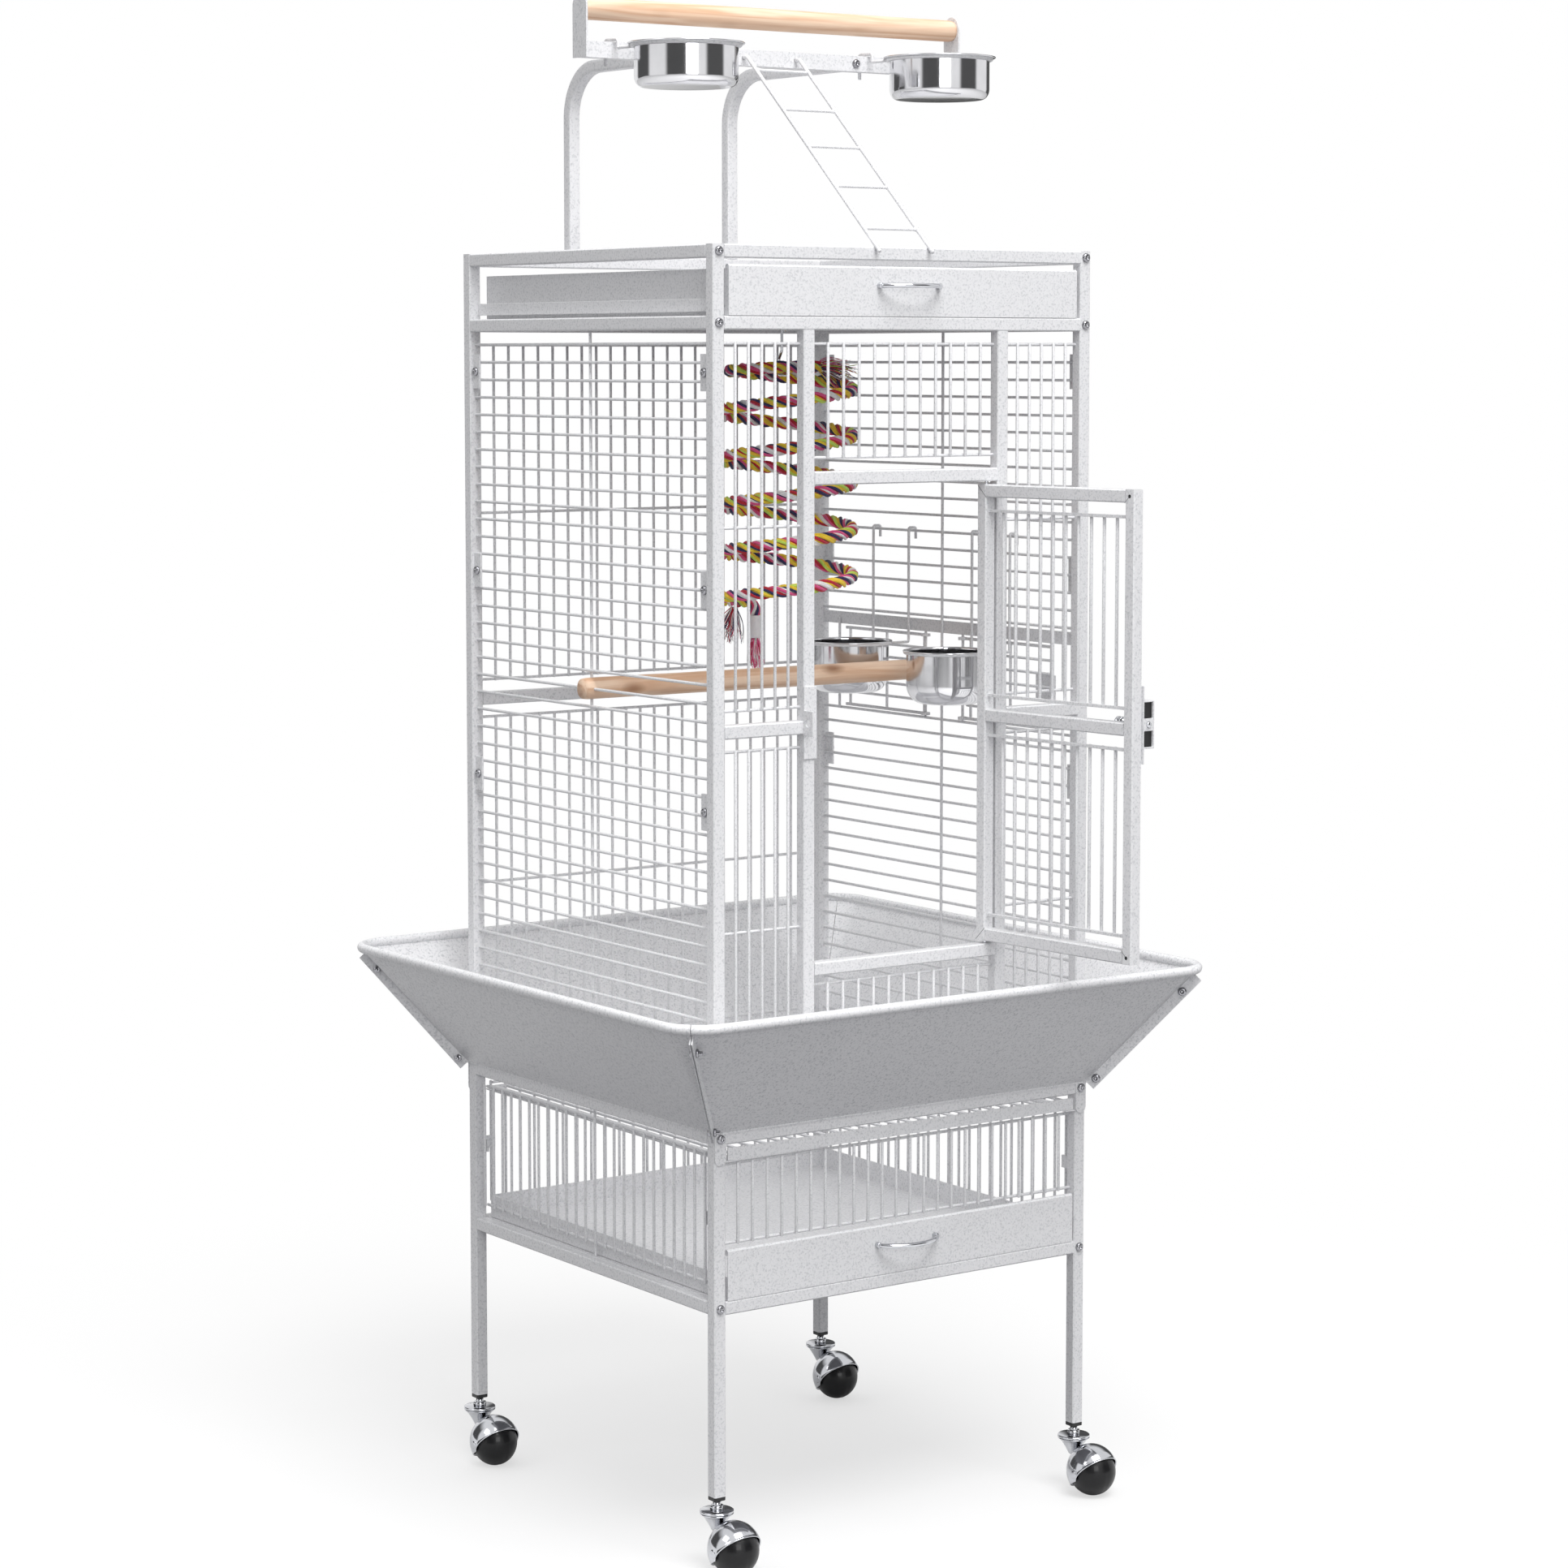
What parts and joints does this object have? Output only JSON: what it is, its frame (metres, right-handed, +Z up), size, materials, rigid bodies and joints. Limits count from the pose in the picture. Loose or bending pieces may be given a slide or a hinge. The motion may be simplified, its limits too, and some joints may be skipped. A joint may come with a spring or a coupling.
{
  "type": "bird cage with stand",
  "caption": "Square white wire bird cage on a wheeled stand, with seed skirts, pull-out trays, feeder doors, a hinged front door and an open play top.",
  "frame": {"origin": "on the floor, under the middle of the part's box at rest with the door open", "axes": "+Z up, +X to the right of a person who faces the door, front and door at -Y"},
  "size_m": [0.65, 0.7586, 1.5118],
  "materials": {
    "ball_black": "smooth black",
    "bowl_steel": "polished stainless steel",
    "chrome": "bright plated",
    "frame_white": "white hammered powder coat with fine grey specks",
    "plug_black": "black plug",
    "rope": "twisted cotton strands in red, yellow, lime, navy and white",
    "skirt_white": "white hammered powder coat on sheet",
    "wire_white": "white powder coat on wire",
    "wood": "pale sanded wood with fine grain"
  },
  "bodies": {
    "cage": {"leg_plugs": "plug_black", "caster_stems": "chrome", "cage_front_frame": "frame_white", "cage_back_frame": "frame_white", "cage_side_rails": "frame_white", "front_wires_left": "wire_white", "front_wires_right": "wire_white", "front_wires_window": "wire_white", "front_wires_fence": "wire_white", "back_wires": "wire_white", "left_panel": "wire_white", "right_panel": "wire_white", "roof_grille": "wire_white", "lower_fence": "wire_white", "lower_panel_back": "wire_white", "lower_panel_left": "wire_white", "lower_panel_right": "wire_white", "skirt_front": "skirt_white", "skirt_right": "skirt_white", "skirt_back": "skirt_white", "skirt_left": "skirt_white", "frame_bolts": "chrome", "tray_runners": "frame_white", "strike_plate": "frame_white", "play_uprights": "frame_white", "play_crossbar": "frame_white", "play_dowel": "wood", "wood_perch": "wood", "rope_perch": "rope", "rope_ends": "rope", "rope_hook": "chrome"},
    "swivel_fl": {"caster_hood_fl": "chrome"},
    "ball_fl": {"caster_ball_fl": "ball_black"},
    "swivel_fr": {"caster_hood_fr": "chrome"},
    "ball_fr": {"caster_ball_fr": "ball_black"},
    "swivel_bl": {"caster_hood_bl": "chrome"},
    "ball_bl": {"caster_ball_bl": "ball_black"},
    "swivel_br": {"caster_hood_br": "chrome"},
    "ball_br": {"caster_ball_br": "ball_black"},
    "bottom_tray": {"bottom_tray": "frame_white", "bottom_tray_handle": "chrome"},
    "top_tray": {"top_tray": "frame_white", "top_tray_handle": "chrome"},
    "grate": {"grate": "wire_white"},
    "door": {"door_frame": "frame_white", "door_wires": "wire_white", "door_pins": "chrome", "door_latch_case": "frame_white"},
    "door_bolt": {"door_latch_bolt": "chrome"},
    "feeder_door_front": {"feeder_door_front": "wire_white"},
    "cup_holder_front": {"cup_holder_front": "wire_white"},
    "cup_front": {"cup_front": "bowl_steel"},
    "feeder_door_back": {"feeder_door_back": "wire_white"},
    "cup_holder_back": {"cup_holder_back": "wire_white"},
    "cup_back": {"cup_back": "bowl_steel"},
    "top_ring_left": {"top_ring_left": "wire_white"},
    "top_bowl_left": {"top_bowl_left": "bowl_steel"},
    "top_ring_right": {"top_ring_right": "wire_white"},
    "top_bowl_right": {"top_bowl_right": "bowl_steel"},
    "ladder": {"ladder": "wire_white"}
  },
  "joints": [
    {"name": "swivel_fl", "type": "hinge", "parent": "cage", "child": "swivel_fl", "pos_m": [-0.222, -0.16774, 0.0565], "axis": [0, 0, 1], "continuous": true},
    {"name": "roll_fl", "type": "hinge", "parent": "swivel_fl", "child": "ball_fl", "pos_m": [-0.222, -0.19774, 0.025], "axis": [1, 0, 0], "continuous": true},
    {"name": "swivel_fr", "type": "hinge", "parent": "cage", "child": "swivel_fr", "pos_m": [0.222, -0.16774, 0.0565], "axis": [0, 0, 1], "continuous": true},
    {"name": "roll_fr", "type": "hinge", "parent": "swivel_fr", "child": "ball_fr", "pos_m": [0.222, -0.19774, 0.025], "axis": [1, 0, 0], "continuous": true},
    {"name": "swivel_bl", "type": "hinge", "parent": "cage", "child": "swivel_bl", "pos_m": [-0.222, 0.27626, 0.0565], "axis": [0, 0, 1], "continuous": true},
    {"name": "roll_bl", "type": "hinge", "parent": "swivel_bl", "child": "ball_bl", "pos_m": [-0.222, 0.24626, 0.025], "axis": [1, 0, 0], "continuous": true},
    {"name": "swivel_br", "type": "hinge", "parent": "cage", "child": "swivel_br", "pos_m": [0.222, 0.27626, 0.0565], "axis": [0, 0, 1], "continuous": true},
    {"name": "roll_br", "type": "hinge", "parent": "swivel_br", "child": "ball_br", "pos_m": [0.222, 0.24626, 0.025], "axis": [1, 0, 0], "continuous": true},
    {"name": "bottom_tray_slide", "type": "slide", "parent": "cage", "child": "bottom_tray", "axis": [0, -1, 0], "range_m": [0, 0.4]},
    {"name": "top_tray_slide", "type": "slide", "parent": "cage", "child": "top_tray", "axis": [0, -1, 0], "range_m": [0, 0.4]},
    {"name": "grate_slide", "type": "slide", "parent": "cage", "child": "grate", "axis": [0, -1, 0], "range_m": [0, 0.4]},
    {"name": "door_hinge", "type": "hinge", "parent": "cage", "child": "door", "pos_m": [0.1019, -0.16774, 0.8055], "axis": [0, 0, 1], "range_deg": [-95, 13]},
    {"name": "door_bolt_slide", "type": "slide", "parent": "door", "child": "door_bolt", "axis": [0.0872, -0.9962, 0], "range_m": [0, 0.016]},
    {"name": "feeder_door_front_hinge", "type": "hinge", "parent": "cage", "child": "feeder_door_front", "pos_m": [0.222, 0.02226, 0.7765], "axis": [0, 0, 1], "range_deg": [0, 95]},
    {"name": "cup_holder_front_lift", "type": "slide", "parent": "cage", "child": "cup_holder_front", "axis": [0, 0, 1], "range_m": [0, 0.01]},
    {"name": "cup_front_lift", "type": "slide", "parent": "cup_holder_front", "child": "cup_front", "axis": [0, 0, 1], "range_m": [0, 0.08]},
    {"name": "feeder_door_back_hinge", "type": "hinge", "parent": "cage", "child": "feeder_door_back", "pos_m": [0.222, 0.08626, 0.7765], "axis": [0, 0, -1], "range_deg": [0, 95]},
    {"name": "cup_holder_back_lift", "type": "slide", "parent": "cage", "child": "cup_holder_back", "axis": [0, 0, 1], "range_m": [0, 0.01]},
    {"name": "cup_back_lift", "type": "slide", "parent": "cup_holder_back", "child": "cup_back", "axis": [0, 0, 1], "range_m": [0, 0.08]},
    {"name": "top_ring_left_lift", "type": "slide", "parent": "cage", "child": "top_ring_left", "axis": [0, 0, 1], "range_m": [0, 0.014]},
    {"name": "top_bowl_left_lift", "type": "slide", "parent": "top_ring_left", "child": "top_bowl_left", "axis": [0, 0, 1], "range_m": [0, 0.08]},
    {"name": "top_ring_right_lift", "type": "slide", "parent": "cage", "child": "top_ring_right", "axis": [0, 0, 1], "range_m": [0, 0.014]},
    {"name": "top_bowl_right_lift", "type": "slide", "parent": "top_ring_right", "child": "top_bowl_right", "axis": [0, 0, 1], "range_m": [0, 0.08]},
    {"name": "ladder_unhook", "type": "slide", "parent": "cage", "child": "ladder", "axis": [0, -1, 0], "range_m": [0, 0.05]}
  ]
}
